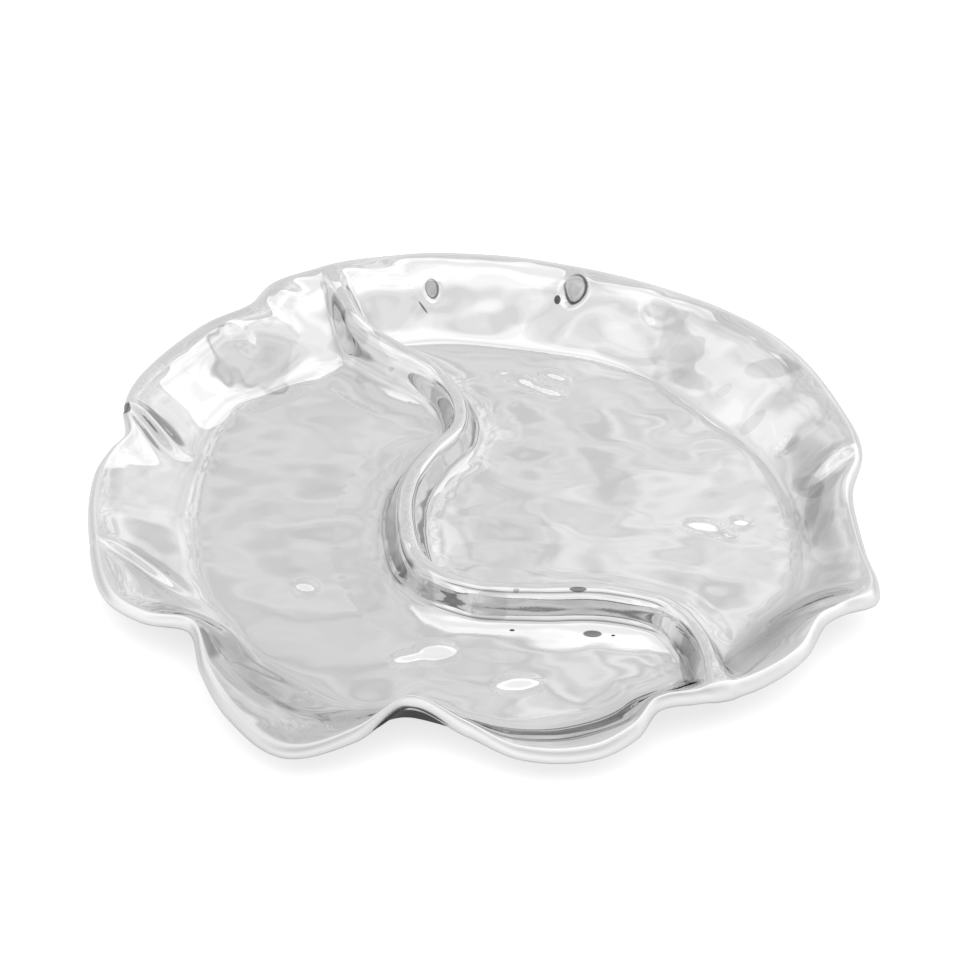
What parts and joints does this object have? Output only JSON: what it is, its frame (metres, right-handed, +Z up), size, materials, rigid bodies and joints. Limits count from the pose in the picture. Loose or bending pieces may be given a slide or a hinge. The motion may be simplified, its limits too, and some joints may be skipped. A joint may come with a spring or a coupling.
{
  "type": "divided serving platter",
  "caption": "Round free-form platter of polished cast aluminium with a ruffled rim, parted into a crescent well and a round well by a raised S-shaped ridge.",
  "frame": {"origin": "under the middle of the platter, on the plane of the table it rests on", "axes": "+Z up out of the wells, +Y to the rear of the picture, +X to its right"},
  "size_m": [0.3939, 0.3898, 0.0294],
  "materials": {
    "polished_aluminium": "mirror polished casting"
  },
  "bodies": {
    "root": {"left_well_floor": "polished_aluminium", "right_well_floor": "polished_aluminium", "divider_rear_bend": "polished_aluminium", "divider_middle_bend": "polished_aluminium", "divider_front_run": "polished_aluminium", "divider_rear_root": "polished_aluminium", "divider_front_root": "polished_aluminium", "rim_rear": "polished_aluminium", "rim_rear_right": "polished_aluminium", "rim_right_fold": "polished_aluminium", "rim_right_corner": "polished_aluminium", "rim_front_right_lobe": "polished_aluminium", "rim_front_left_lobe": "polished_aluminium", "rim_left_lobe": "polished_aluminium", "rim_rear_left_shoulder": "polished_aluminium"}
  },
  "joints": []
}
